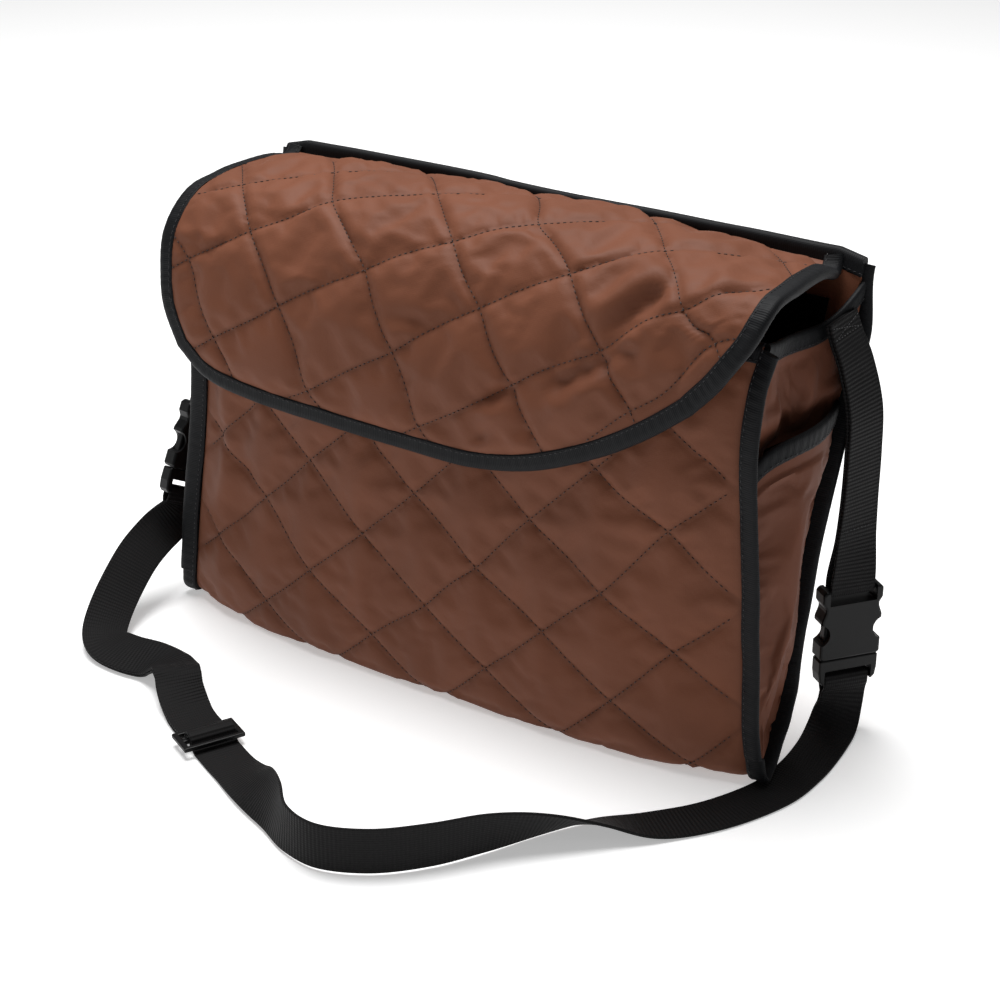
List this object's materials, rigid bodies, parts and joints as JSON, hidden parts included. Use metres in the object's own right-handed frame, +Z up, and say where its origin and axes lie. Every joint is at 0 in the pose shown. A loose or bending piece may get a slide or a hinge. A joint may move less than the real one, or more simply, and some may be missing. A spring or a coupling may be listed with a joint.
{
  "type": "hand warmer muff",
  "caption": "Quilted fabric hand warmer muff like a small bag: fold-over flap, side hand openings, bound edges and a webbing strap with side-release buckles.",
  "frame": {"origin": "on the surface that the bag stands on, under the middle of the bag without its strap", "axes": "+X to the bag's right as its front is looked at, +Y from the front panel to the back panel, +Z up"},
  "size_m": [0.4261, 0.2873, 0.2623],
  "materials": {
    "quilted_cloth": "matt brown polyester, quilted in diamonds over wadding",
    "side_cloth": "brown polyester with a soft sheen",
    "binding_tape": "black woven binding tape with a slight sheen",
    "webbing": "black ribbed polypropylene webbing",
    "lining_cloth": "black lining cloth",
    "fleece": "black napped fleece",
    "buckle_plastic": "satin black moulded plastic"
  },
  "bodies": {
    "bag": {"back_top_binding": "binding_tape", "body_lining": "lining_cloth", "front_top_binding": "binding_tape", "hand_sleeve": "fleece", "left_gusset": "side_cloth", "left_gusset_binding": "binding_tape", "left_hand_binding": "binding_tape", "left_hand_panel": "side_cloth", "left_seam_binding": "binding_tape", "right_gusset": "side_cloth", "right_gusset_binding": "binding_tape", "right_hand_binding": "binding_tape", "right_hand_panel": "side_cloth", "right_seam_binding": "binding_tape", "body_panel": "quilted_cloth", "strap": "webbing", "strap_return": "webbing", "strap_right_end": "webbing", "slider": "buckle_plastic", "left_buckle_plug": "buckle_plastic", "right_buckle_plug": "buckle_plastic"},
    "flap_top": {"flap_top": "quilted_cloth", "flap_left_binding": "binding_tape", "flap_right_binding": "binding_tape"},
    "flap_front": {"flap_front": "quilted_cloth", "flap_front_binding": "binding_tape"},
    "right_socket": {"right_buckle_socket": "buckle_plastic", "right_tab": "webbing"},
    "left_socket": {"left_buckle_socket": "buckle_plastic", "left_tab": "webbing"},
    "left_arm_inner": {"left_arm_inner": "buckle_plastic"},
    "left_arm_outer": {"left_arm_outer": "buckle_plastic"},
    "right_arm_inner": {"right_arm_inner": "buckle_plastic"},
    "right_arm_outer": {"right_arm_outer": "buckle_plastic"}
  },
  "joints": [
    {"name": "flap_hinge", "type": "hinge", "parent": "bag", "child": "flap_top", "pos_m": [0, 0.0535, 0.2502], "axis": [-1, 0, 0], "range_deg": [0, 170]},
    {"name": "flap_fold", "type": "hinge", "parent": "flap_top", "child": "flap_front", "pos_m": [0.001, -0.04055, 0.25105], "axis": [-0.9986, 0.0392, -0.0366], "range_deg": [0, 85]},
    {"name": "right_buckle_release", "type": "slide", "parent": "bag", "child": "right_socket", "axis": [0, 0, 1], "range_m": [0, 0.0245]},
    {"name": "left_buckle_release", "type": "slide", "parent": "bag", "child": "left_socket", "axis": [0.03, 0.455, 0.89], "range_m": [0, 0.0245]},
    {"name": "right_arm_inner_squeeze", "type": "hinge", "parent": "bag", "child": "right_arm_inner", "pos_m": [0.18894, 0.02729, 0.0434], "axis": [-0.7986, 0.6018, 0], "range_deg": [0, 6], "stiffness_Nm_per_rad": 0.02},
    {"name": "right_arm_outer_squeeze", "type": "hinge", "parent": "bag", "child": "right_arm_outer", "pos_m": [0.20206, 0.04471, 0.0434], "axis": [0.7986, -0.6018, 0], "range_deg": [0, 6], "stiffness_Nm_per_rad": 0.02},
    {"name": "left_arm_inner_squeeze", "type": "hinge", "parent": "bag", "child": "left_arm_inner", "pos_m": [-0.20188, -0.03099, 0.07316], "axis": [-0.9498, 0.2904, -0.1164], "range_deg": [0, 6], "stiffness_Nm_per_rad": 0.02},
    {"name": "left_arm_outer_squeeze", "type": "hinge", "parent": "bag", "child": "left_arm_outer", "pos_m": [-0.19509, -0.01264, 0.06355], "axis": [0.9498, -0.2904, 0.1164], "range_deg": [0, 6], "stiffness_Nm_per_rad": 0.02}
  ],
  "couplings": [
    {"joint": "right_arm_outer_squeeze", "follows": "right_arm_inner_squeeze", "ratio": 1},
    {"joint": "left_arm_outer_squeeze", "follows": "left_arm_inner_squeeze", "ratio": 1}
  ]
}
